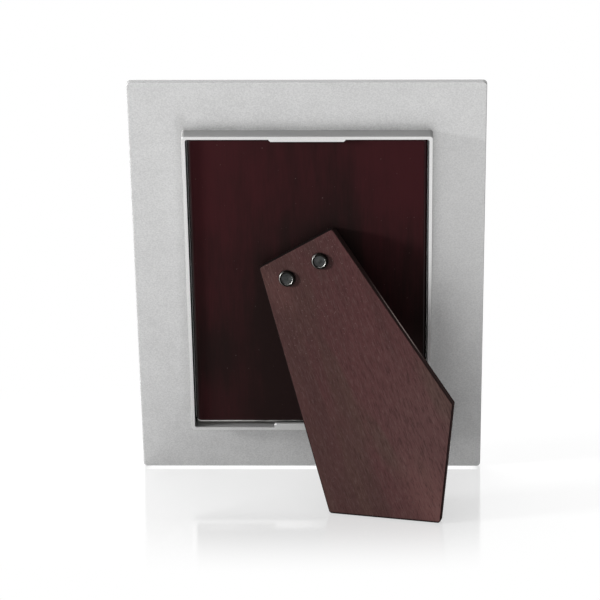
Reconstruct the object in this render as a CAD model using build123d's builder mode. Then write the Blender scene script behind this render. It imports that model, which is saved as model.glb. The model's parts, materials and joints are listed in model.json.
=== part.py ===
import os
from math import cos, radians, sin

from build123d import *

# Print, glass and card behind the window
print_width = 102.0
print_height = 152.0
print_thickness = 0.25
print_play = 1.0
glass_thickness = 1.8
card_thickness = 0.55
window_lap = 2.0

# Metal frame
side_border = 22.7
end_border = 24.2
plate_thickness = 2.2
corner_radius = 1.8
edge_round = 0.4
field_height = 1.8
field_inset = 4.0
field_slope = 6.0
window_bevel = 1.0

# Raised rim of the pocket and its two tabs
rim_wall = 1.8
rim_corner = 1.4
rim_bevel = 0.2
tab_width = 33.0
tab_thickness = 1.0
tab_chamfer = 0.8
upper_tab_reach = 1.1
lower_tab_reach = 2.05

# Wooden back panel, loose in the pocket
panel_thickness = 3.0
panel_corner = 2.0
panel_round = 1.6
panel_side_play = 0.6
panel_stack_play = 0.2
panel_headroom = 0.1
panel_travel = 1.3
panel_end_gap = 0.15
panel_tab_gap = 0.4

# How it stands, upright on the leg's foot or on its side
lean = 13.7
side_lean = 17.4
arris_setback = 30.0

# Easel leg on its slanted hinge
leg_thickness = 4.0
leg_top_width = 38.2
leg_open_angle = 22.6
leg_stop_gap = 0.15
leg_outer_splay = 15.1
leg_inner_splay = 4.3
leg_corner = 1.5
leg_round = 0.6
leg_offset = 1.7
hinge_rise = 15.55
hinge_offset = -3.1
hinge_tilt = 32.8

# Hinge
hinge_length = 28.0
knuckle_count = 5
knuckle_spacing = 0.25
pin_diameter = 1.0
pin_clearance = 0.05
pin_head_diameter = 1.7
pin_head_height = 0.5
pin_head_bevel = 0.25
leaf_thickness = 0.45
leaf_corner = 1.5
leaf_margin = 2.0
knuckle_gap = 0.25
curl_opening = 50.0
barrel_clearance = 0.3

# Capped rivets
rivet_pitch = 17.1
shank_diameter = 3.0
neck_diameter = 2.2
neck_length = 0.6
rivet_clearance = 0.05
flange_diameter = 4.4
flange_thickness = 0.5
leg_rivet_drop = 4.15
leg_cap_diameter = 7.1
leg_cap_height = 1.4
leg_cap_bevel = 0.65
dish_diameter = 4.9
dish_lip = 0.35
dish_depth = 0.3
panel_cap_diameter = 5.6
panel_cap_height = 0.9
panel_cap_bevel = 0.4
panel_rivet_space = 1.2
counterbore_play = 0.4
counterbore_depth = 0.7

# Sizes that follow from the above
pocket_width = print_width + 2 * print_play
pocket_height = print_height + 2 * print_play
pocket_corner = 0.8 * print_play
window_width = print_width - 2 * window_lap
window_height = print_height - 2 * window_lap
rim_width = pocket_width + 2 * rim_wall
rim_length = pocket_height + 2 * rim_wall
frame_width = rim_width + 2 * side_border
frame_height = rim_length + 2 * end_border
frame_middle = frame_height / 2
pocket_bottom = end_border + rim_wall
pocket_top = pocket_bottom + pocket_height

glass_front = -plate_thickness
print_front = glass_front + glass_thickness
card_front = print_front + print_thickness
panel_front = card_front + card_thickness + panel_stack_play
panel_face = panel_front + panel_thickness
rim_height = panel_face + panel_tab_gap + tab_thickness
panel_width = pocket_width - 2 * panel_side_play
panel_height = pocket_height - panel_headroom - panel_travel - panel_end_gap
panel_middle = pocket_top - panel_headroom - panel_height / 2

pin_radius = pin_diameter / 2
bore_radius = pin_radius + pin_clearance
knuckle_radius = bore_radius + leaf_thickness
pin_height = knuckle_radius + knuckle_gap
knuckle_step = hinge_length / knuckle_count
knuckle_length = knuckle_step - knuckle_spacing
leaf_start = knuckle_radius + barrel_clearance
flange_radius = flange_diameter / 2
hole_radius = shank_diameter / 2 + rivet_clearance
leg_leaf_length = leg_rivet_drop + flange_radius + leaf_margin
panel_cap_radius = panel_cap_diameter / 2
panel_rivet_drop = leg_leaf_length + panel_rivet_space + panel_cap_radius
panel_leaf_length = panel_rivet_drop + panel_cap_radius + leaf_margin

# The frame leans back on the rounded rear arris of its lower edge
tilt = radians(lean)
side_tilt = radians(side_lean)
arris_drop = edge_round * (cos(tilt) + sin(tilt) - 1)
side_arris_drop = edge_round * (cos(side_tilt) + sin(side_tilt) - 1)
back = Plane(
    origin=(0, -arris_setback, -arris_drop),
    x_dir=(-1, 0, 0),
    z_dir=(0, cos(tilt), -sin(tilt)),
)
rearward = Axis(back.origin, back.z_dir)


def place(point):
    return back.from_local_coords(point)


def heading(direction):
    return place(direction) - back.origin


def frame_plane(height, depth):
    origin = place(Vector(0, height, depth))
    return Plane(origin=origin, x_dir=back.x_dir, z_dir=back.z_dir)


# The leg's own directions, on the frame's axes: across, up and rearward
slant = radians(hinge_tilt)
opening = radians(leg_open_angle)
straight_out = Vector(0, 0, 1)
along_hinge = Vector(cos(slant), sin(slant), 0)
down_panel = Vector(sin(slant), -cos(slant), 0)
down_leg = down_panel * cos(opening) + straight_out * sin(opening)
out_of_leg = straight_out * cos(opening) - down_panel * sin(opening)
pin_middle = Vector(hinge_offset, frame_middle + hinge_rise, panel_face + pin_height)
leg_origin = pin_middle + out_of_leg * pin_height

# The leg's outline, as points along the hinge and down the leg from the pin
leg_rise = (pin_height * (1 + cos(opening)) - leg_stop_gap) / sin(opening)
half_top = leg_top_width / 2
top_outer = Vector(leg_offset - half_top, -leg_rise)
top_inner = Vector(leg_offset + half_top, -leg_rise)
outer_side = Vector(-sin(radians(leg_outer_splay)), cos(radians(leg_outer_splay)))
inner_side = Vector(sin(radians(leg_inner_splay)), cos(radians(leg_inner_splay)))


def table_line(up, table_point, drop, face_point):
    """The line where a face of the leg meets a table, as a normal and its distance."""
    normal = Vector(along_hinge.dot(up), down_leg.dot(up))
    return normal, drop - (face_point - table_point).dot(up)


def run_to(start, direction, line):
    normal, distance = line
    return start + direction * ((distance - start.dot(normal)) / direction.dot(normal))


def crossing(first, second):
    along = Vector(-first[0].Y, first[0].X)
    on_first = first[0] * (first[1] / first[0].dot(first[0]))
    return run_to(on_first, along, second)


upright_foot = table_line(
    Vector(0, cos(tilt), -sin(tilt)), Vector(0, 0, 0), arris_drop, leg_origin
)
sideways_foot = table_line(
    Vector(-cos(side_tilt), 0, -sin(side_tilt)),
    Vector(frame_width / 2, 0, 0),
    side_arris_drop,
    leg_origin + out_of_leg * leg_thickness,
)
foot_outer = run_to(top_outer, outer_side, upright_foot)
foot_tip = crossing(upright_foot, sideways_foot)
foot_inner = run_to(top_inner, inner_side, sideways_foot)
leg_outline = [top_outer, foot_outer, foot_tip, foot_inner, top_inner]

leg_face = Plane(
    origin=place(leg_origin),
    x_dir=heading(along_hinge),
    z_dir=heading(out_of_leg),
)
panel_leaf_face = Plane(
    origin=place(pin_middle - straight_out * pin_height),
    x_dir=heading(along_hinge),
    z_dir=heading(straight_out),
)
leg_leaf_face = leg_face.offset(-leaf_thickness)
middle_back = frame_plane(frame_middle, 0)
middle_seat = frame_plane(frame_middle, glass_front)

# Metal border with its window, and a raised field on the front
with BuildPart() as frame_plate:
    with BuildSketch(middle_back):
        RectangleRounded(frame_width, frame_height, corner_radius)
    extrude(amount=-plate_thickness)
    plate_faces = frame_plate.faces().sort_by(rearward)
    fillet(plate_faces[0].edges() + plate_faces[-1].edges(), edge_round)
    with BuildSketch(middle_seat):
        Rectangle(frame_width - 2 * field_inset, frame_height - 2 * field_inset)
    extrude(amount=-field_height)
    front_face = frame_plate.faces().sort_by(rearward)[0]
    chamfer(
        front_face.edges(),
        length=field_slope,
        length2=field_height - edge_round,
        reference=front_face,
    )
    with BuildSketch(middle_back):
        RectangleRounded(pocket_width, pocket_height, pocket_corner)
    extrude(amount=-plate_thickness, mode=Mode.SUBTRACT)
    with BuildSketch(middle_seat):
        Rectangle(window_width, window_height)
    extrude(amount=-field_height, mode=Mode.SUBTRACT)
    front_face = frame_plate.faces().sort_by(rearward)[0]
    chamfer(front_face.inner_wires()[0].edges(), window_bevel)
frame_plate.part.label = "frame_plate"

# Raised wall round the pocket, with an upper and a lower tab
with BuildPart() as pocket_rim:
    with BuildSketch(middle_back):
        RectangleRounded(rim_width, rim_length, rim_corner)
        RectangleRounded(pocket_width, pocket_height, pocket_corner, mode=Mode.SUBTRACT)
    extrude(amount=rim_height)
    with BuildSketch(middle_back.offset(rim_height)):
        for end, reach in ((1, upper_tab_reach), (-1, lower_tab_reach)):
            root = end * (pocket_height + rim_wall) / 2
            tip = end * (pocket_height / 2 - reach)
            shoulder = tip + end * tab_chamfer
            half_tab = tab_width / 2
            half_tip = half_tab - tab_chamfer
            with BuildLine():
                Polyline(
                    (-half_tab, root),
                    (-half_tab, shoulder),
                    (-half_tip, tip),
                    (half_tip, tip),
                    (half_tab, shoulder),
                    (half_tab, root),
                    close=True,
                )
            make_face()
    extrude(amount=-tab_thickness)
    chamfer(pocket_rim.faces().sort_by(rearward)[-1].edges(), rim_bevel)
pocket_rim.part.label = "pocket_rim"


def pocket_sheet(label, front, thickness):
    """A sheet of the print's size, standing on the lower wall of the pocket."""
    with BuildPart() as sheet:
        with BuildSketch(frame_plane(pocket_bottom, front)):
            Rectangle(print_width, print_height, align=(Align.CENTER, Align.MIN))
        extrude(amount=thickness)
    sheet.part.label = label
    return sheet


glass_pane = pocket_sheet("glass_pane", glass_front, glass_thickness)
photo_print = pocket_sheet("photo_print", print_front, print_thickness)
filler_card = pocket_sheet("filler_card", card_front, card_thickness)

# Places of the rivets, on the leg's outer face and on the panel's leaf
rivet_spots = (-rivet_pitch / 2, rivet_pitch / 2)
leg_rivet_places = [
    Plane(
        origin=leg_face.from_local_coords(Vector(spot, -leg_rivet_drop, leg_thickness)),
        x_dir=leg_face.x_dir,
        z_dir=leg_face.z_dir,
    )
    for spot in rivet_spots
]
panel_rivet_places = [
    Plane(
        origin=panel_leaf_face.from_local_coords(Vector(spot, -panel_rivet_drop, leaf_thickness)),
        x_dir=panel_leaf_face.x_dir,
        z_dir=panel_leaf_face.z_dir,
    )
    for spot in rivet_spots
]
panel_stack = leaf_thickness + panel_thickness
panel_bore_places = [
    Plane(origin=spot.offset(-panel_stack).origin, x_dir=spot.x_dir, z_dir=-spot.z_dir)
    for spot in panel_rivet_places
]

# Back panel with its rounded rear edges, bored from inside for the rivets
with BuildPart() as back_panel:
    with BuildSketch(frame_plane(panel_middle, panel_front)):
        RectangleRounded(panel_width, panel_height, panel_corner)
    extrude(amount=panel_thickness)
    fillet(back_panel.faces().sort_by(rearward)[-1].edges(), panel_round)
    with Locations(*panel_bore_places):
        CounterBoreHole(hole_radius, flange_radius + counterbore_play, counterbore_depth, panel_thickness)
back_panel.part.label = "back_panel"

# Easel leg: both foot edges lie on a table, one for each way of standing
with BuildPart() as easel_leg:
    with BuildSketch(leg_face):
        with BuildLine():
            Polyline(*[(point.X, -point.Y) for point in leg_outline], close=True)
        make_face()
        fillet(vertices(), leg_corner)
    extrude(amount=leg_thickness)
    fillet(easel_leg.faces().sort_by(Axis(leg_face.origin, leg_face.z_dir))[-1].edges(), leg_round)
    with Locations(*leg_rivet_places):
        Hole(hole_radius, depth=leg_thickness)
easel_leg.part.label = "easel_leg"


def hinge_leaf(label, face, length, rivet_drop, side, down, knuckles):
    """A leaf on its face, with knuckles rolled round the pin from the strip's end."""
    plate_middle = (leaf_start + length) / 2
    roll = curl_opening - 360
    with BuildPart() as leaf:
        with BuildSketch(face):
            with Locations((0, -plate_middle)):
                RectangleRounded(hinge_length, length - leaf_start, leaf_corner)
            with Locations((0, -leaf_start - leaf_corner)):
                Rectangle(hinge_length, 2 * leaf_corner)
            with Locations(*[(spot, -rivet_drop) for spot in rivet_spots]):
                Circle(hole_radius, mode=Mode.SUBTRACT)
        extrude(amount=leaf_thickness)
        for number in knuckles:
            near_end = (number + 1) * knuckle_step - (hinge_length + knuckle_spacing) / 2
            section = Plane(
                origin=place(pin_middle + along_hinge * near_end),
                x_dir=heading(down),
                z_dir=-heading(along_hinge),
            )
            with BuildSketch(section):
                with BuildLine():
                    outer_roll = CenterArc((0, 0), knuckle_radius, side * 90, side * -roll)
                    inner_roll = CenterArc((0, 0), bore_radius, side * 90, side * -roll)
                    Line(outer_roll @ 0, inner_roll @ 0)
                    Line(outer_roll @ 1, inner_roll @ 1)
                make_face()
                with Locations((leaf_start / 2, side * (pin_height - leaf_thickness / 2))):
                    Rectangle(leaf_start + leaf_thickness, leaf_thickness)
            extrude(amount=knuckle_length)
    leaf.part.label = label
    return leaf


panel_hinge_leaf = hinge_leaf(
    "panel_hinge_leaf", panel_leaf_face, panel_leaf_length, panel_rivet_drop,
    -1, down_panel, range(0, knuckle_count, 2),
)
leg_hinge_leaf = hinge_leaf(
    "leg_hinge_leaf", leg_leaf_face, leg_leaf_length, leg_rivet_drop,
    1, down_leg, range(1, knuckle_count, 2),
)

# Hinge pin, headed at both ends
pin_end = Plane(
    origin=place(pin_middle - along_hinge * (hinge_length / 2)),
    x_dir=heading(straight_out),
    z_dir=heading(along_hinge),
)
with BuildPart() as hinge_pin:
    with BuildSketch(pin_end):
        Circle(pin_radius)
    extrude(amount=hinge_length)
    for head_end, reach in ((0, -pin_head_height), (hinge_length, pin_head_height)):
        with BuildSketch(pin_end.offset(head_end)):
            Circle(pin_head_diameter / 2)
        extrude(amount=reach)
    head_faces = hinge_pin.faces().sort_by(Axis(pin_end.origin, pin_end.z_dir))
    chamfer(head_faces[0].edges() + head_faces[-1].edges(), pin_head_bevel)
hinge_pin.part.label = "hinge_pin"


def rivet_caps(label, places, diameter, height, bevel, dished):
    """Caps with a flat or dished top, each with a socket for its post's neck."""
    stand = (Align.CENTER, Align.CENTER, Align.MIN)
    with BuildPart() as caps:
        with Locations(*places):
            Cylinder(diameter / 2, height, align=stand)
        upward = Axis(places[0].origin, places[0].z_dir)
        chamfer(caps.edges().group_by(upward)[-1], bevel)
        with Locations(*places):
            Cylinder(neck_diameter / 2 + rivet_clearance, neck_length, align=stand, mode=Mode.SUBTRACT)
        if dished:
            floor_radius = dish_diameter / 2
            with Locations(*[spot.offset(height - dish_depth) for spot in places]):
                Cone(floor_radius, floor_radius + dish_lip, dish_depth, align=stand, mode=Mode.SUBTRACT)
    caps.part.label = label
    return caps


def rivet_posts(label, places, grip):
    """Flanged posts that run through the grip and end in a neck inside the cap."""
    stand = (Align.CENTER, Align.CENTER, Align.MIN)
    hang = (Align.CENTER, Align.CENTER, Align.MAX)
    with BuildPart() as posts:
        with Locations(*places):
            Cylinder(shank_diameter / 2, grip, align=hang)
            Cylinder(neck_diameter / 2, neck_length - rivet_clearance, align=stand)
        with Locations(*[spot.offset(-grip) for spot in places]):
            Cylinder(flange_radius, flange_thickness, align=hang)
    posts.part.label = label
    return posts


leg_rivet_caps = rivet_caps(
    "leg_rivet_caps", leg_rivet_places, leg_cap_diameter, leg_cap_height, leg_cap_bevel, True
)
leg_rivet_posts = rivet_posts("leg_rivet_posts", leg_rivet_places, leg_thickness + leaf_thickness)
panel_rivet_caps = rivet_caps(
    "panel_rivet_caps", panel_rivet_places, panel_cap_diameter, panel_cap_height, panel_cap_bevel, False
)
panel_rivet_posts = rivet_posts("panel_rivet_posts", panel_rivet_places, panel_stack - counterbore_depth)

os.makedirs("parts", exist_ok=True)
for piece in (
    frame_plate,
    pocket_rim,
    glass_pane,
    photo_print,
    filler_card,
    back_panel,
    panel_hinge_leaf,
    panel_rivet_caps,
    panel_rivet_posts,
    hinge_pin,
    easel_leg,
    leg_hinge_leaf,
    leg_rivet_caps,
    leg_rivet_posts,
):
    export_step(piece.part, f"parts/{piece.part.label}.step")
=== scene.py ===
import json
import math

import bmesh
import bpy
from mathutils import Matrix, Vector


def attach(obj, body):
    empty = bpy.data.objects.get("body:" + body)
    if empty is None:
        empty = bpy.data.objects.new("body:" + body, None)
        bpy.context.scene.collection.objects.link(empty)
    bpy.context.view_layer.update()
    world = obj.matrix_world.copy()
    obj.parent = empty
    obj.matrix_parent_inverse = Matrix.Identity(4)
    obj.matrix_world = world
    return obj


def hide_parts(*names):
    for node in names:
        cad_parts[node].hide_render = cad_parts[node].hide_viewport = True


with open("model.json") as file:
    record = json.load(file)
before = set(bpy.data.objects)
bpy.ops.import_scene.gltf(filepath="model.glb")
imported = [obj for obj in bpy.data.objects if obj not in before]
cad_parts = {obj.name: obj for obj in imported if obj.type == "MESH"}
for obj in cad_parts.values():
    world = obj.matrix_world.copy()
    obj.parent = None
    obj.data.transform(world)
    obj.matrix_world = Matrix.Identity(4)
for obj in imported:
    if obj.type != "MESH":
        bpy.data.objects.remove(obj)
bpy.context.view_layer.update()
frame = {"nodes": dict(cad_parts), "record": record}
nodes = frame["nodes"]
joints = {joint["name"]: joint for joint in frame["record"]["behaviour"]["joints"]}
print("frame loaded:", len(nodes), "nodes")

# Ways along the leaning frame and its open leg, as the two joints give them
legPose = {"openAngle": 22.6}
acrossWay = Vector((-1, 0, 0))
upWay = Vector(joints["back_slide"]["axis"])
rearWay = acrossWay.cross(upWay)
hingeWay = Vector(joints["leg_fold"]["axis"])
pinPlace = Vector(joints["leg_fold"]["pos_m"])
panelDownWay = hingeWay.cross(rearWay)
legTurn = Matrix.Rotation(math.radians(-legPose["openAngle"]), 3, hingeWay)
legDownWay = legTurn @ panelDownWay
legOutWay = legTurn @ rearWay
panelAxes = Matrix((acrossWay, upWay, rearWay)).transposed()
hingeAxes = Matrix((hingeWay, -panelDownWay, rearWay)).transposed()
legAxes = Matrix((hingeWay, -legDownWay, legOutWay)).transposed()


class Wire:
    def __init__(self, tree, socket=None):
        self.tree = tree
        self.socket = socket

    def node(self, kind, settings=None, sockets=None, out=0):
        made = self.tree.nodes.new(kind)
        for key, value in (settings or {}).items():
            if key == "stops":  # a ramp's (position, colour) pairs
                while len(made.color_ramp.elements) < len(value):
                    made.color_ramp.elements.new(0.5)
                for element, (position, colour) in zip(made.color_ramp.elements, value):
                    element.position = position
                    element.color = colour
            else:
                setattr(made, key, value)
        for key, value in (sockets or {}).items():
            if isinstance(value, Wire):
                self.tree.links.new(value.socket, made.inputs[key])
            else:
                made.inputs[key].default_value = value
        return Wire(self.tree, made.outputs[out] if made.outputs else None)

    def maths(self, operation, first, second=0.0):
        return self.node("ShaderNodeMath", {"operation": operation}, {0: first, 1: second})

    def __add__(self, other):
        return self.maths("ADD", self, other)

    def __radd__(self, other):
        return self.maths("ADD", other, self)

    def __sub__(self, other):
        return self.maths("SUBTRACT", self, other)

    def __rsub__(self, other):
        return self.maths("SUBTRACT", other, self)

    def __mul__(self, other):
        return self.maths("MULTIPLY", self, other)

    def __rmul__(self, other):
        return self.maths("MULTIPLY", other, self)

    def __truediv__(self, other):
        return self.maths("DIVIDE", self, other)


def opaque(colour):
    return (*colour, 1)


def newMaterial(name):
    material = bpy.data.materials.new(name)
    material.use_nodes = True
    material.node_tree.nodes.clear()
    return material, Wire(material.node_tree)


def finishMaterial(start, sockets, height=None, strength=0.1, depth=0.00005):
    if height:
        sockets["Normal"] = start.node("ShaderNodeBump", None, {
            "Height": height, "Strength": strength, "Distance": depth})
    shader = start.node("ShaderNodeBsdfPrincipled", None, sockets)
    start.node("ShaderNodeOutputMaterial", None, {"Surface": shader})


def objectPoint(start, axes=None, origin=(0, 0, 0)):
    place = start.node("ShaderNodeTexCoord", None, None, "Object")
    if axes is None:
        return place
    return start.node("ShaderNodeMapping", {"vector_type": "TEXTURE"}, {
        "Vector": place, "Location": origin, "Rotation": axes.to_euler()})


def stretched(start, point, scale):
    return start.node("ShaderNodeMapping", None, {"Vector": point, "Scale": scale})


def noise(start, point, scale, detail=3.0, roughness=0.55):
    return start.node("ShaderNodeTexNoise", None, {
        "Vector": point, "Scale": scale, "Detail": detail, "Roughness": roughness}, "Fac")


def toned(start, value, places, colours):
    stops = [(place, opaque(colour)) for place, colour in zip(places, colours)]
    return start.node("ShaderNodeValToRGB", {"stops": stops}, {"Fac": value}, "Color")


# A range in the settings is (low, high), or (low, high, new low, new high)
def spread(start, value, low, high, newLow=0.0, newHigh=1.0):
    return start.node("ShaderNodeMapRange", {"interpolation_type": "SMOOTHSTEP"}, {
        "Value": value, "From Min": low, "From Max": high, "To Min": newLow, "To Max": newHigh}, "Result")


def falling(start, value, low, high, top=1.0):
    return spread(start, value, low, high, top, 0.0)


def blended(start, factor, first, second):
    return start.node("ShaderNodeMix", {"data_type": "RGBA"}, {"Factor": factor, 6: first, 7: second}, 2)


def facing(start, way):
    normal = start.node("ShaderNodeTexCoord", None, None, "Normal")
    return start.node("ShaderNodeVectorMath", {"operation": "DOT_PRODUCT"}, {0: normal, 1: way}, "Value")


def part(start, point, axis):
    return start.node("ShaderNodeSeparateXYZ", None, {"Vector": point}, axis)


def unsigned(start, value):
    return start.maths("ABSOLUTE", value)


def distance(start, point):
    return start.node("ShaderNodeVectorMath", {"operation": "LENGTH"}, {0: point}, "Value")


def away(start, point, place, reach):  # 0 at a place along and down the leg, 1 at its reach
    near = start.node("ShaderNodeMapping", {"vector_type": "TEXTURE"}, {
        "Vector": point, "Location": (place[0], -place[1], 0), "Scale": (*reach, 1)})
    return distance(start, near)


def cameraRays(start):
    return {name: start.node("ShaderNodeLightPath", None, None, name)
            for name in ("Is Camera Ray", "Is Glossy Ray", "Is Transmission Ray")}


borderMetal = {
    "name": "borderMetal", "light": (0.715, 0.715, 0.712), "dark": (0.585, 0.585, 0.585), "grain": 1500, "cloud": 95,
    "metal": 0.9, "roughness": 0.54, "bump": 0.16, "sideShade": 0.5, "paintedRimShade": 0.16,
}
rimMetal = {
    "name": "rimMetal", "light": (0.83, 0.825, 0.82), "dark": (0.75, 0.75, 0.745), "grain": 1900, "cloud": 30,
    "metal": 1.0, "roughness": 0.42, "bump": 0.06, "sideShade": 0.6, "paintedRimShade": 0.0,
}
# What the border and the rim share
castMetal = {
    "grainShare": 0.82, "cloudShare": 0.18, "tones": (0.36, 0.64), "grainRough": 0.25, "cloudRough": 0.12,
    "sides": (0.72, 0.97), "sideTone": (0.08, 0.08, 0.08), "sideRough": 0.4,
    "innerWalls": (-0.045, -0.02, 0.95, 0.0), "innerWallShade": (0.01, 0.01, 0.01),
    "seatStart": (0.0515, 0.053), "seatEnd": (0.0535, 0.059), "seatLevel": 0.103, "seatReach": (0.077, 0.082),
    "seatFace": (0.5, 0.9), "rimShadeTone": (0.2, 0.2, 0.2),
}


def satinMetal(settings):
    material, start = newMaterial(settings["name"])
    point = objectPoint(start, panelAxes)
    rear = facing(start, rearWay)
    grain = noise(start, point, settings["grain"], detail=2.0, roughness=0.6)
    cloud = noise(start, point, settings["cloud"], detail=2.0)
    outward = 0 - part(start, point, "X")
    level = unsigned(start, part(start, point, "Y") - settings["seatLevel"])
    paintedRimShade = (spread(start, outward, *settings["seatStart"])
            * falling(start, outward, *settings["seatEnd"], settings["paintedRimShade"])
            * falling(start, level, *settings["seatReach"]) * spread(start, rear, *settings["seatFace"]))
    speckled = grain * settings["grainShare"] + cloud * settings["cloudShare"]
    bare = toned(start, speckled, settings["tones"], (settings["dark"], settings["light"]))
    face = blended(start, paintedRimShade, bare, opaque(settings["rimShadeTone"]))  # painted shade: a little darker on the border along one side of the rim
    shade = falling(start, unsigned(start, rear), *settings["sides"], settings["sideShade"])
    walled = blended(start, shade, face, opaque(settings["sideTone"]))  # painted shade: the sides are drawn duller than the faces
    inward = facing(start, acrossWay) * part(start, point, "X")  # less than nothing on walls that face the middle
    # painted shade: the walls that face the middle are drawn near black
    colour = blended(start, spread(start, inward, *settings["innerWalls"]), walled, opaque(settings["innerWallShade"]))
    roughness = (settings["roughness"] + (grain - 0.5) * settings["grainRough"]
                 + (cloud - 0.5) * settings["cloudRough"] + shade * settings["sideRough"])
    finishMaterial(start, {"Metallic": settings["metal"], "Base Color": colour, "Roughness": roughness},
                   grain, settings["bump"])
    return material


panelLook = {
    "deep": (0.0080, 0.0045, 0.0045), "brown": (0.0185, 0.0108, 0.0104), "red": (0.0485, 0.0138, 0.0160),
    "dust": (0.16, 0.12, 0.11), "wearAndPaintedLight": (0.85, 0.84, 0.82),
    "patch": (24, 13, 24), "grain": (190, 22, 190), "fine": (1500, 90, 1500), "fleck": (900, 700, 900),
    "ragged": (160, 900, 900), "patchShare": 0.5, "grainShare": 0.2, "fineShare": 0.12, "lift": 0.09,
    "flanks": (0.006, 0.036, -0.08, 0.08), "upper": (0.05, 0.17, -0.16, 0.07), "tones": (0.34, 0.66),
    "veins": (0.5, 0.8, 0.0, 0.05), "flecks": (0.76, 0.80, 0.0, 0.5),
    "under": (0.04, 0.22), "underSlope": 9, "underWearAndHighlight": (-0.05, 0.62, 1.0, 0.12),
    "sideStart": (0.45, 0.6), "sideEnd": (0.75, 0.9), "sideHighlightStrength": 0.1, "bend": (0.90, 0.995),
    "gleam": 0.0, "roughness": 0.30, "grainRough": 0.2, "edgeCoat": 0.7, "coatRough": 0.08, "bump": 0.05,
}


def lacquerMaterial(settings):
    material, start = newMaterial("panelLacquer")
    point = objectPoint(start, panelAxes)
    across = part(start, point, "X")
    patch = noise(start, stretched(start, point, settings["patch"]), 1.0, detail=3.0)
    grain = noise(start, stretched(start, point, settings["grain"]), 1.0, detail=3.0)
    fine = noise(start, stretched(start, point, settings["fine"]), 1.0, detail=2.0)
    fleck = noise(start, stretched(start, point, settings["fleck"]), 1.0, detail=1.0)
    ragged = noise(start, stretched(start, point, settings["ragged"]), 1.0, detail=3.0)
    flanks = spread(start, unsigned(start, across), *settings["flanks"])
    upper = spread(start, part(start, point, "Y"), *settings["upper"])  # painted light: the stain is drawn redder and lighter towards the top
    tone = (patch * settings["patchShare"] + grain * settings["grainShare"] + fine * settings["fineShare"]
            + settings["lift"] + flanks + upper)
    body = blended(start, spread(start, tone, *settings["tones"]), opaque(settings["brown"]), opaque(settings["red"]))
    veined = blended(start, spread(start, grain, *settings["veins"]), body, opaque(settings["deep"]))
    flecked = blended(start, spread(start, fleck, *settings["flecks"]), veined, opaque(settings["dust"]))
    under = spread(start, facing(start, -upWay), *settings["under"])  # the lower edge is drawn pale, most at one end: partly worn lacquer, partly a painted highlight
    paintedHighlightMask = under * spread(start, across * settings["underSlope"] + ragged, *settings["underWearAndHighlight"])
    # painted highlight: a thin pale line along the rounded side edge
    side = facing(start, -acrossWay)
    paintedSideHighlight = (spread(start, side, *settings["sideStart"])
                  * falling(start, side, *settings["sideEnd"], settings["sideHighlightStrength"]))
    colour = blended(start, paintedHighlightMask + paintedSideHighlight, flecked, opaque(settings["wearAndPaintedLight"]))
    bend = 1 - spread(start, facing(start, rearWay), *settings["bend"])  # lacquer is thicker round the edges
    finishMaterial(start, {
        "Base Color": colour, "Roughness": settings["roughness"] + (grain - 0.5) * settings["grainRough"],
        "Specular IOR Level": settings["gleam"], "Coat Weight": bend * settings["edgeCoat"],
        "Coat Roughness": settings["coatRough"]}, grain, settings["bump"])
    return material


legLook = {
    "dark": (0.018, 0.0075, 0.007), "brown": (0.041, 0.0172, 0.0165), "olive": (0.047, 0.0225, 0.0192),
    "red": (0.055, 0.0202, 0.0205), "faded": (0.16, 0.072, 0.064), "pale": (0.15, 0.105, 0.095),
    "edge": (0.0045, 0.0026, 0.0025), "flank": (0.032, 0.018, 0.017), "arris": (0.55, 0.46, 0.42),
    "grainTurn": -11, "band": (75, 8, 75), "streak": (420, 18, 420), "stroke": (1000, 150, 1000),
    "pore": (2300, 300, 2300), "hue": (85, 18, 85), "dust": 1300,
    "bandShare": 0.5, "streakShare": 0.3, "strokeShare": 0.2, "cornerShare": 0.1, "tones": (0.36, 0.6),
    "spot": (0.15, 1.0), "hues": (0.38, 0.58), "cornerDown": (0.03, 0.09), "cornerAlong": (-0.03, 0.02),
    "cornerPaintedLight": 0.10, "paintedFootLight": (0.06, 0.1, 0.0, 0.03),
    "pores": (0.54, 0.70, 0.0, 0.42), "strokes": (0.52, 0.66), "strokeDepth": 0.2, "cornerDepth": 0.2,
    "palePores": (0.32, 0.46, 0.12, 0.0), "paleStrokes": (0.32, 0.48, 0.07, 0.0),
    "specks": (0.68, 0.76), "speckFade": (0.02, 0.06, 0.5, 0.15),
    "face": (0.90, 0.998), "foot": (0.0007, 0.0016), "sideFoot": (0.0005, 0.0012), "tableSide": -0.0765,
    "capAt": 0.00855, "capDrop": 0.00415, "capRing": 0.0042, "capShadeRing": (0.86, 1.0, 0.6, 0.0),
    "side": (0.3, 0.6), "underside": 0.00125, "lineStart": (0.0008, 0.0012), "lineEnd": (0.0016, 0.0020),
    "rubStart": (0.018, 0.048), "rubEnd": (0.050, 0.066),
    "gleam": 0.03, "roughness": 0.45, "streakRough": 0.2, "poreRough": 0.15, "edgeRough": 0.4,
    "wax": 0.16, "waxRough": 0.4, "bump": 0.25, "bumpDepth": 0.00006,
}
# Where the stain took unevenly: place along and down the leg, half width and length, redder, paler
stainSpots = [
    ((0.012, 0.050), (0.014, 0.030), 0.10, 0.0),
    ((0.025, 0.078), (0.011, 0.024), -0.20, 0.0),
    ((0.000, 0.080), (0.008, 0.022), 0.10, 0.0),
    ((-0.002, 0.124), (0.016, 0.036), 0.08, 0.22),
    ((-0.034, 0.094), (0.012, 0.034), -0.12, 0.0),
    ((-0.015, 0.008), (0.008, 0.016), 0.08, 0.12),
    ((-0.0115, 0.074), (0.0070, 0.056), -0.17, 0.0),
    ((-0.004, 0.131), (0.011, 0.016), 0.0, 0.10),
]


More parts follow.
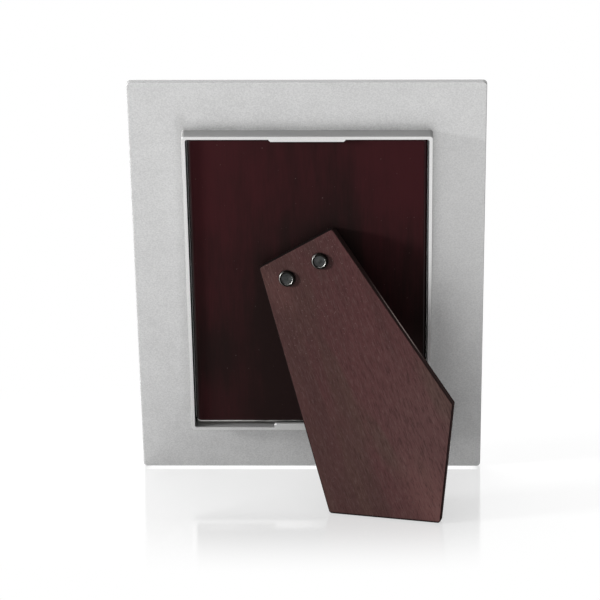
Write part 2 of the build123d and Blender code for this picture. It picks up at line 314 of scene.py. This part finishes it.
def stainMaterial(settings):
    material, start = newMaterial("legStain")
    world = objectPoint(start)
    point = objectPoint(start, legAxes, pinPlace)
    along, down = part(start, point, "X"), 0 - part(start, point, "Y")
    grainTurn = Matrix.Rotation(math.radians(settings["grainTurn"]), 3, legOutWay)
    fibre = objectPoint(start, grainTurn @ legAxes, pinPlace)
    band = noise(start, stretched(start, fibre, settings["band"]), 1.0, detail=2.0)
    streak = noise(start, stretched(start, fibre, settings["streak"]), 1.0, detail=4.0)
    stroke = noise(start, stretched(start, fibre, settings["stroke"]), 1.0, detail=2.0, roughness=0.65)
    pore = noise(start, stretched(start, fibre, settings["pore"]), 1.0, detail=2.0)
    hue = noise(start, stretched(start, fibre, settings["hue"]), 1.0, detail=1.0)
    dust = noise(start, point, settings["dust"], detail=1.0)
    fade = 0.0
    for place, reach, redder, paler in stainSpots:
        spot = falling(start, away(start, point, place, reach), *settings["spot"])
        hue, fade = hue + spot * redder, fade + spot * paler
    warm = blended(start, spread(start, hue, *settings["hues"]), opaque(settings["olive"]), opaque(settings["red"]))
    corner = (spread(start, down, *settings["cornerDown"])  # coarser grain by the foot, and lighter there by painted light
              * spread(start, along, *settings["cornerAlong"]))
    tone = (band * settings["bandShare"] + streak * settings["streakShare"] + stroke * settings["strokeShare"]
            + corner * settings["cornerShare"])
    body = blended(start, spread(start, tone, *settings["tones"]), opaque(settings["brown"]), warm)
    bleached = blended(start, fade, body, opaque(settings["faded"]))
    # painted light: the wood is drawn lighter towards the foot
    low = corner * settings["cornerPaintedLight"] + spread(start, down, *settings["paintedFootLight"])
    ripe = blended(start, low, bleached, opaque(settings["pale"]))
    depth = settings["strokeDepth"] + corner * settings["cornerDepth"]
    pores = spread(start, pore, *settings["pores"]) + spread(start, stroke, *settings["strokes"]) * depth
    grained = blended(start, pores, ripe, opaque(settings["dark"]))
    lighter = spread(start, pore, *settings["palePores"]) + spread(start, stroke, *settings["paleStrokes"])
    fibred = blended(start, lighter, grained, opaque(settings["pale"]))
    speck = spread(start, dust, *settings["specks"]) * spread(start, down, *settings["speckFade"])
    dusted = blended(start, speck, fibred, opaque(settings["pale"]))
    # painted shade: a dark ring round each rivet cap
    capReach = (settings["capRing"], settings["capRing"])
    capAway = start.maths("MINIMUM", *(away(start, point, (capSide * settings["capAt"], settings["capDrop"]), capReach)
                                       for capSide in (-1, 1)))
    capShaded = blended(start, spread(start, capAway, *settings["capShadeRing"]), dusted, opaque(settings["edge"]))
    face = spread(start, unsigned(start, facing(start, legOutWay)), *settings["face"])
    # painted shade: the face also takes the edge colours near the floor and past tableSide
    foot = spread(start, part(start, world, "Z"), *settings["foot"])
    sideFoot = spread(start, part(start, world, "X") - settings["tableSide"], *settings["sideFoot"])
    side = spread(start, facing(start, hingeWay), *settings["side"])
    rim = blended(start, side, opaque(settings["edge"]), opaque(settings["flank"]))  # painted shade: the edges near black, less dark on one side
    edged = blended(start, face * foot * sideFoot, rim, capShaded)
    rise = part(start, point, "Z") - settings["underside"]
    line = spread(start, rise, *settings["lineStart"]) * falling(start, rise, *settings["lineEnd"])
    paintedHighlightMask = line * side * spread(start, down, *settings["rubStart"]) * falling(start, down, *settings["rubEnd"])
    colour = blended(start, paintedHighlightMask, edged, opaque(settings["arris"]))  # painted highlight: a light line along the arris on that side
    roughness = (settings["roughness"] + (streak - 0.5) * settings["streakRough"] + pores * settings["poreRough"]
                 + (1 - face) * settings["edgeRough"])
    finishMaterial(start, {
        "Base Color": colour, "Roughness": roughness, "Specular IOR Level": settings["gleam"],
        "Coat Weight": face * settings["wax"], "Coat Roughness": settings["waxRough"]},
        1 - pores, settings["bump"], settings["bumpDepth"])
    return material


nickelLook = {
    "light": (0.066, 0.068, 0.067), "dark": (0.022, 0.023, 0.023), "bright": (0.17, 0.17, 0.163),
    "dull": (0.010, 0.009, 0.008), "haze": 520, "rings": 5200, "hazeShare": 0.6, "ringShare": 0.4,
    "tones": (0.35, 0.65), "flat": (0.00235, 0.0026), "crest": (0.0027, 0.0029),
    "lipWay": (-0.34, -0.94), "lip": (0.1, 0.4), "shoulderWay": (-0.89, -0.46), "shoulder": (0.15, 0.6),
    "roughness": 0.32, "hazeRough": 0.15, "wornRough": 0.13, "bump": 0.05, "bumpDepth": 0.00002,
}


def nickelMaterial(settings):
    material, start = newMaterial("darkNickel")
    haze = noise(start, objectPoint(start), settings["haze"], detail=3.0)
    radius = start.node("ShaderNodeAttribute", {"attribute_name": "ringRadius"}, None, "Fac")
    turned = start.node("ShaderNodeTexNoise", {"noise_dimensions": "1D"}, {
        "W": radius, "Scale": settings["rings"], "Detail": 1.0}, "Fac")
    litSides = {}
    for name in ("lip", "shoulder"):  # painted highlight on one side of each, painted shade on the rest
        along, down = settings[name + "Way"]
        litSides[name] = spread(start, facing(start, hingeWay * along + legDownWay * down), *settings[name])
    mottled = haze * settings["hazeShare"] + turned * settings["ringShare"]
    flat = toned(start, mottled, settings["tones"], (settings["dark"], settings["light"]))
    outside = spread(start, radius, *settings["crest"])
    paintedHighlightMask = litSides["lip"] * (1 - outside) + litSides["shoulder"] * outside
    wearAndPaintedLight = blended(start, paintedHighlightMask, opaque(settings["dull"]), opaque(settings["bright"]))
    offFlat = spread(start, radius, *settings["flat"])
    roughness = settings["roughness"] + (haze - 0.5) * settings["hazeRough"] + offFlat * settings["wornRough"]
    finishMaterial(start, {"Metallic": 1.0, "Base Color": blended(start, offFlat, flat, wearAndPaintedLight), "Roughness": roughness},
                   turned, settings["bump"], settings["bumpDepth"])
    return material


steelLook = {
    "light": (0.56, 0.56, 0.57), "dark": (0.40, 0.40, 0.405), "brush": (110, 2600, 2600), "tones": (0.35, 0.65),
    "roughness": 0.34, "brushRough": 0.25, "bump": 0.1, "bumpDepth": 0.00002,
}


def steelMaterial(settings):
    material, start = newMaterial("hingeSteel")
    brushed = noise(start, stretched(start, objectPoint(start, hingeAxes), settings["brush"]), 1.0, detail=2.0)
    colour = toned(start, brushed, settings["tones"], (settings["dark"], settings["light"]))
    roughness = settings["roughness"] + (brushed - 0.5) * settings["brushRough"]
    finishMaterial(start, {"Metallic": 1.0, "Base Color": colour, "Roughness": roughness},
                   brushed, settings["bump"], settings["bumpDepth"])
    return material


glassLook = {"tint": (0.96, 0.98, 0.975), "smear": 26, "smears": (0.45, 0.75, 0.02, 0.06), "slant": 0.5,
             "leastGloss": 0.05, "slantGloss": 0.7}


def glassMaterial(settings):
    material, start = newMaterial("clearGlass")
    smear = noise(start, objectPoint(start), settings["smear"], detail=2.0)
    slant = start.node("ShaderNodeLayerWeight", None, {"Blend": settings["slant"]}, "Facing")
    gloss = settings["leastGloss"] + slant * slant * slant * slant * settings["slantGloss"]
    finishMaterial(start, {"Metallic": 1.0, "Base Color": opaque(settings["tint"]), "Alpha": gloss,
                           "Roughness": spread(start, smear, *settings["smears"])})
    return material


printLook = {"name": "printPaper", "light": (0.93, 0.92, 0.90), "dark": (0.86, 0.85, 0.83), "fibre": 2400}
cardLook = {"name": "greyCard", "light": (0.42, 0.39, 0.34), "dark": (0.30, 0.28, 0.25), "fibre": 1400}
# What the print and the card share
pressedPaper = {"tones": (0.3, 0.7), "gleam": 0.3, "roughness": 0.55, "toothRough": 0.3,
                "bump": 0.1, "bumpDepth": 0.00004}


def paperMaterial(settings):
    material, start = newMaterial(settings["name"])
    tooth = noise(start, objectPoint(start, panelAxes), settings["fibre"], detail=4.0)
    colour = toned(start, tooth, settings["tones"], (settings["dark"], settings["light"]))
    roughness = settings["roughness"] + (tooth - 0.5) * settings["toothRough"]
    finishMaterial(start, {"Base Color": colour, "Roughness": roughness, "Specular IOR Level": settings["gleam"]},
                   tooth, settings["bump"], settings["bumpDepth"])
    return material


finishes = {
    "border": satinMetal({**castMetal, **borderMetal}),
    "rim": satinMetal({**castMetal, **rimMetal}),
    "lacquer": lacquerMaterial(panelLook),
    "stain": stainMaterial(legLook),
    "nickel": nickelMaterial(nickelLook),
    "steel": steelMaterial(steelLook),
    "glass": glassMaterial(glassLook),
    "print": paperMaterial({**pressedPaper, **printLook}),
    "card": paperMaterial({**pressedPaper, **cardLook}),
}
nodeFinish = {
    "frame_plate": "border", "pocket_rim": "rim", "glass_pane": "glass", "photo_print": "print",
    "filler_card": "card", "back_panel": "lacquer", "panel_hinge_leaf": "steel", "panel_rivet_posts": "nickel",
    "hinge_pin": "steel", "easel_leg": "stain", "leg_hinge_leaf": "steel", "leg_rivet_posts": "nickel",
}
for nodeName, finishName in nodeFinish.items():
    for materialSlot in nodes[nodeName].material_slots:
        materialSlot.material = finishes[finishName]
print("finishes set:", len(finishes))

# The print lies a hair behind the glass, so that the two faces don't share one plane
printSheet = {"node": "photo_print", "gap": 0.00003, "round": 0.0012, "steps": 4}


def makePrint(settings):
    toPanel = panelAxes.transposed()
    corners = [toPanel @ vertex.co for vertex in nodes[settings["node"]].data.vertices]
    low = Vector([min(corner[axis] for corner in corners) + settings["gap"] for axis in range(3)])
    high = Vector([max(corner[axis] for corner in corners) - settings["gap"] for axis in range(3)])
    outline = []
    for number, (x, y) in enumerate(((high.x, high.y), (low.x, high.y), (low.x, low.y), (high.x, low.y))):
        inward = Vector((-1 if x == high.x else 1, -1 if y == high.y else 1)) * settings["round"]
        for step in range(settings["steps"] + 1):
            angle = math.radians(90 * (number + step / settings["steps"]))
            outline.append((x + inward.x + settings["round"] * math.cos(angle),
                            y + inward.y + settings["round"] * math.sin(angle)))
    count = len(outline)
    spots = [panelAxes @ Vector((x, y, z)) for z in (low.z, high.z) for x, y in outline]
    sides = [(at, (at + 1) % count, (at + 1) % count + count, at + count) for at in range(count)]
    mesh = bpy.data.meshes.new("printSheet")
    mesh.from_pydata(spots, [], [tuple(reversed(range(count))), tuple(range(count, 2 * count)), *sides])
    mesh.materials.append(finishes["print"])
    sheet = bpy.data.objects.new("printSheet", mesh)
    bpy.context.collection.objects.link(sheet)
    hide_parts(settings["node"])
    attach(sheet, "frame")
    print("print made:", len(mesh.polygons), "faces")


makePrint(printSheet)

# Rivet caps: one turned profile, set in a row of two along the hinge
capRow = {"count": 2, "pitch": 0.0171, "pinHeight": 0.00125, "legThickness": 0.004, "legDrop": 0.00415,
          "leafThickness": 0.00045, "panelDrop": 0.01235, "around": 64, "lipSteps": 6, "floorSteps": 2,
          "weld": 0.000002, "sharpAngle": 50}
legCap = {"Diameter": 0.0071, "Height": 0.0014, "Shoulder": 0.0007, "Shoulder Steps": 8,
          "Flat Diameter": 0.0049, "Dish": 0.0003}
panelCap = {"Diameter": 0.0056, "Height": 0.0009, "Shoulder": 0.0004, "Shoulder Steps": 4,
            "Flat Diameter": 0.0048, "Dish": 0.0}
socketSize = {"Socket Diameter": 0.0023, "Socket Depth": 0.0006}


def capTree(settings):
    tree = bpy.data.node_groups.new("rivetCapRow", "GeometryNodeTree")
    for name in ("Diameter", "Height", "Shoulder", "Flat Diameter", "Dish", "Socket Diameter", "Socket Depth"):
        tree.interface.new_socket(name, in_out="INPUT", socket_type="NodeSocketFloat")
    tree.interface.new_socket("Shoulder Steps", in_out="INPUT", socket_type="NodeSocketInt")
    for name in ("First Place", "Step", "Turn"):
        tree.interface.new_socket(name, in_out="INPUT", socket_type="NodeSocketVector")
    tree.interface.new_socket("Finish", in_out="INPUT", socket_type="NodeSocketMaterial")
    tree.interface.new_socket("Geometry", in_out="OUTPUT", socket_type="NodeSocketGeometry")
    start = Wire(tree)
    given = tree.nodes.new("NodeGroupInput")
    size = {socket.name: Wire(tree, socket) for socket in given.outputs if socket.name}
    socketSteps = 4  # out to the socket's wall, down it, out below, up the side
    shoulderEnd = size["Shoulder Steps"] + socketSteps
    lipEnd = shoulderEnd + settings["lipSteps"]
    steps = lipEnd + settings["floorSteps"]
    grid = start.node("GeometryNodeMeshGrid", None, {
        "Size X": steps, "Size Y": 2 * math.pi,
        "Vertices X": steps + 1, "Vertices Y": settings["around"] + 1}, "Mesh")
    spot = start.node("GeometryNodeInputPosition")
    count = part(start, spot, "X") + steps / 2  # steps along the profile, from inside the socket to the middle
    angle = part(start, spot, "Y")

    def run(first, length=1.0):
        return start.node("ShaderNodeClamp", None, {"Value": (count - first) / length})

    outer, inner, flat = size["Diameter"] / 2, size["Socket Diameter"] / 2, size["Flat Diameter"] / 2
    bend = run(socketSteps, size["Shoulder Steps"]) * (math.pi / 2)
    slope = run(shoulderEnd, settings["lipSteps"])
    inward = run(lipEnd, settings["floorSteps"])
    lip = outer - size["Shoulder"] - flat
    radius = (inner * run(0.0) + (outer - inner) * run(2.0) - size["Shoulder"] * (1 - start.maths("COSINE", bend))
              - lip * slope - flat * inward)
    height = (size["Socket Depth"] * (1 - run(1.0)) + (size["Height"] - size["Shoulder"]) * run(3.0)
              + size["Shoulder"] * start.maths("SINE", bend)
              - size["Dish"] * (1 - start.maths("COSINE", slope * math.pi)) / 2)
    place = start.node("ShaderNodeCombineXYZ", None, {
        "X": radius * start.maths("COSINE", angle), "Y": radius * start.maths("SINE", angle), "Z": height})
    rings = start.node("GeometryNodeStoreNamedAttribute", {"data_type": "FLOAT", "domain": "POINT"}, {
        "Geometry": grid, "Name": "ringRadius", "Value": radius})
    turned = start.node("GeometryNodeSetPosition", None, {"Geometry": rings, "Position": place})
    closed = start.node("GeometryNodeMergeByDistance", None, {"Geometry": turned, "Distance": settings["weld"]})
    row = start.node("GeometryNodeMeshLine", {"mode": "OFFSET"}, {
        "Count": settings["count"], "Start Location": size["First Place"], "Offset": size["Step"]})
    turn = start.node("FunctionNodeEulerToRotation", None, {"Euler": size["Turn"]})
    caps = start.node("GeometryNodeInstanceOnPoints", None, {"Points": row, "Instance": closed, "Rotation": turn})
    real = start.node("GeometryNodeRealizeInstances", None, {"Geometry": caps})
    painted = start.node("GeometryNodeSetMaterial", None, {"Geometry": real, "Material": size["Finish"]})
    start.node("NodeGroupOutput", None, {"Geometry": painted})
    return tree


def makeCaps(name, tree, settings, values, body, nodeName):
    carrier = bpy.data.objects.new(name + "Source", bpy.data.meshes.new(name + "Source"))
    bpy.context.collection.objects.link(carrier)
    modifier = carrier.modifiers.new("rivetCaps", "NODES")
    modifier.node_group = tree
    for item in tree.interface.items_tree:
        if item.in_out == "INPUT":
            modifier[item.identifier] = values[item.name]
    bpy.context.view_layer.update()
    evaluated = carrier.evaluated_get(bpy.context.evaluated_depsgraph_get())
    mesh = bpy.data.meshes.new_from_object(evaluated)
    bpy.data.objects.remove(carrier)
    shape = bmesh.new()
    shape.from_mesh(mesh)
    bmesh.ops.recalc_face_normals(shape, faces=shape.faces)
    shape.to_mesh(mesh)
    shape.free()
    mesh.shade_smooth()
    mesh.set_sharp_from_angle(angle=math.radians(settings["sharpAngle"]))
    caps = bpy.data.objects.new(name, mesh)
    bpy.context.collection.objects.link(caps)
    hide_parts(nodeName)
    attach(caps, body)
    print(name, "made:", len(mesh.polygons), "faces")


def dressCaps(settings):
    tree = capTree(settings)
    step = hingeWay * settings["pitch"]
    halfRow = step * ((settings["count"] - 1) / 2)
    legTop = settings["pinHeight"] + settings["legThickness"]
    leafTop = settings["leafThickness"] - settings["pinHeight"]
    legSpot = pinPlace + legOutWay * legTop + legDownWay * settings["legDrop"]
    panelSpot = pinPlace + rearWay * leafTop + panelDownWay * settings["panelDrop"]
    shared = {"Step": step, "Finish": finishes["nickel"], **socketSize}
    legValues = {**legCap, **shared, "First Place": legSpot - halfRow, "Turn": legAxes.to_euler()}
    panelValues = {**panelCap, **shared, "First Place": panelSpot - halfRow, "Turn": hingeAxes.to_euler()}
    makeCaps("legRivetCaps", tree, settings, legValues, "leg", "leg_rivet_caps")
    makeCaps("panelRivetCaps", tree, settings, panelValues, "back", "panel_rivet_caps")


dressCaps(capRow)

# A floor that is white to the eye and keeps a faint mirror image and a fainter shadow
floorLook = {
    "size": 12.0, "colour": (0.5, 0.5, 0.5), "roughness": 0.18, "gleam": 1.0,
    "polish": (0.95, 0.95, 0.95), "polished": 0.7, "polishBlur": 0.1,
    "near": 0.58, "far": 1.0, "reach": (0.045, 0.105), "middle": (0, 0.02, 0), "narrowing": (0.3, 1, 0),
    "edgeAt": -0.029, "edgeReach": (0.0025, 0.0035), "edgeEnds": (0.072, 0.080),
    "mirrored": (0.0, 0.15, 0.03, 0.6), "poolBehind": (0.035, 0.095), "poolBeside": (0.02, 0.12), "paintedPool": 1.6,
}


def makeFloor(settings):
    half = settings["size"] / 2
    mesh = bpy.data.meshes.new("floor")
    mesh.from_pydata([(-half, -half, 0), (half, -half, 0), (half, half, 0), (-half, half, 0)], [], [(0, 1, 2, 3)])
    floor = bpy.data.objects.new("floor", mesh)
    bpy.context.collection.objects.link(floor)
    material, start = newMaterial("floorWhite")
    ray = cameraRays(start)
    place = objectPoint(start)
    behind, beside = part(start, place, "Y"), 0 - part(start, place, "X")
    narrowed = start.node("ShaderNodeMapping", None, {
        "Vector": place, "Location": settings["middle"], "Scale": settings["narrowing"]})
    clear = spread(start, distance(start, narrowed), *settings["reach"], settings["near"], settings["far"])
    fromEdge = unsigned(start, behind - settings["edgeAt"])
    edge = (falling(start, fromEdge, *settings["edgeReach"])  # painted highlight: a bright line where the frame stands
            * falling(start, unsigned(start, beside), *settings["edgeEnds"]))
    white = start.maths("MAXIMUM", clear, edge)
    glow = start.node("ShaderNodeEmission", None, {"Color": (1, 1, 1, 1), "Strength": 1.0})
    plain = start.node("ShaderNodeBsdfPrincipled", None, {
        "Base Color": opaque(settings["colour"]), "Roughness": settings["roughness"],
        "Specular IOR Level": settings["gleam"]})
    polish = start.node("ShaderNodeBsdfPrincipled", None, {
        "Base Color": opaque(settings["polish"]), "Metallic": settings["polished"],
        "Roughness": settings["polishBlur"]})
    # painted light: a patch of floor behind and beside the frame glows for reflections only
    paintedPool = (spread(start, behind, *settings["poolBehind"]) * spread(start, beside, *settings["poolBeside"])
            * settings["paintedPool"])
    mirrored = ray["Is Glossy Ray"] * (spread(start, behind, *settings["mirrored"]) + paintedPool)
    around = start.node("ShaderNodeMixShader", None, {0: mirrored, 1: plain, 2: glow})
    seen = start.node("ShaderNodeMixShader", None, {0: white, 1: polish, 2: glow})
    shown = start.node("ShaderNodeMixShader", None, {
        0: ray["Is Camera Ray"] + ray["Is Transmission Ray"], 1: around, 2: seen})
    start.node("ShaderNodeOutputMaterial", None, {"Surface": shown})
    mesh.materials.append(material)
    print("floor made")


makeFloor(floorLook)

# White all round at eye level, greyer overhead
studioLook = {"white": (1, 1, 1), "overhead": (0.16, 0.16, 0.165), "ambient": (0.22, 0.22, 0.225),
              "rise": (0.40, 0.72)}


def makeStudio(settings):
    world = bpy.data.worlds.new("studio")
    world.use_nodes = True
    world.node_tree.nodes.clear()
    start = Wire(world.node_tree)
    ray = cameraRays(start)
    way = start.node("ShaderNodeTexCoord", None, None, "Generated")
    overhead = spread(start, part(start, way, "Z"), *settings["rise"])
    dome = blended(start, overhead, opaque(settings["white"]), opaque(settings["overhead"]))
    seen = ray["Is Camera Ray"] + ray["Is Glossy Ray"] + ray["Is Transmission Ray"]
    colour = blended(start, seen, opaque(settings["ambient"]), dome)
    background = start.node("ShaderNodeBackground", None, {"Color": colour, "Strength": 1.0})
    start.node("ShaderNodeOutputWorld", None, {"Surface": background})
    bpy.context.scene.world = world
    print("studio made")


makeStudio(studioLook)

lamps = {
    "side": {"place": (1.44, 0.318, 0.42), "size": 0.2, "power": 42},
    "key": {"place": (0.95, 1.1, 1.2), "size": 0.6, "power": 1.5},
    "overhead": {"place": (0.35, -0.2, 2.0), "size": 1.2, "power": 36},
    "front": {"place": (-1.3, -1.9, 0.7), "size": 1.2, "power": 6},
}
lampTarget = Vector((0, 0, 0.09))
for lampName, lamp in lamps.items():
    light = bpy.data.lights.new(lampName, "AREA")
    light.size = lamp["size"]
    light.energy = lamp["power"]
    lampObject = bpy.data.objects.new(lampName, light)
    lampObject.location = lamp["place"]
    lampObject.rotation_euler = (lampTarget - lampObject.location).to_track_quat("-Z", "Y").to_euler()
    bpy.context.collection.objects.link(lampObject)
print("light set:", len(lamps), "lamps")

# The camera stands behind the frame, a little above it
view = {"place": (-0.03203, 1.53004, 0.70537), "yaw": -1.349, "pitch": 21.8, "roll": 0.512,
        "focalPixels": 3759.6, "framePixels": 600, "sensor": 36.0, "clip": (0.05, 30)}


def makeCamera(settings):
    yaw, pitch, roll = (math.radians(settings[key]) for key in ("yaw", "pitch", "roll"))
    ahead = Vector((-math.sin(yaw) * math.cos(pitch), -math.cos(yaw) * math.cos(pitch), -math.sin(pitch)))
    right = ahead.cross(Vector((0, 0, 1))).normalized()
    turnedRight = right * math.cos(roll) + ahead.cross(right) * math.sin(roll)
    data = bpy.data.cameras.new("photoCamera")
    data.sensor_width = settings["sensor"]
    data.lens = settings["focalPixels"] / settings["framePixels"] * settings["sensor"]
    data.clip_start, data.clip_end = settings["clip"]
    camera = bpy.data.objects.new("photoCamera", data)
    camera.matrix_world = Matrix((turnedRight, turnedRight.cross(ahead), -ahead)).transposed().to_4x4()
    camera.location = settings["place"]
    bpy.context.collection.objects.link(camera)
    bpy.context.scene.camera = camera


makeCamera(view)
bpy.context.scene.view_settings.view_transform = "Standard"
print("camera set")
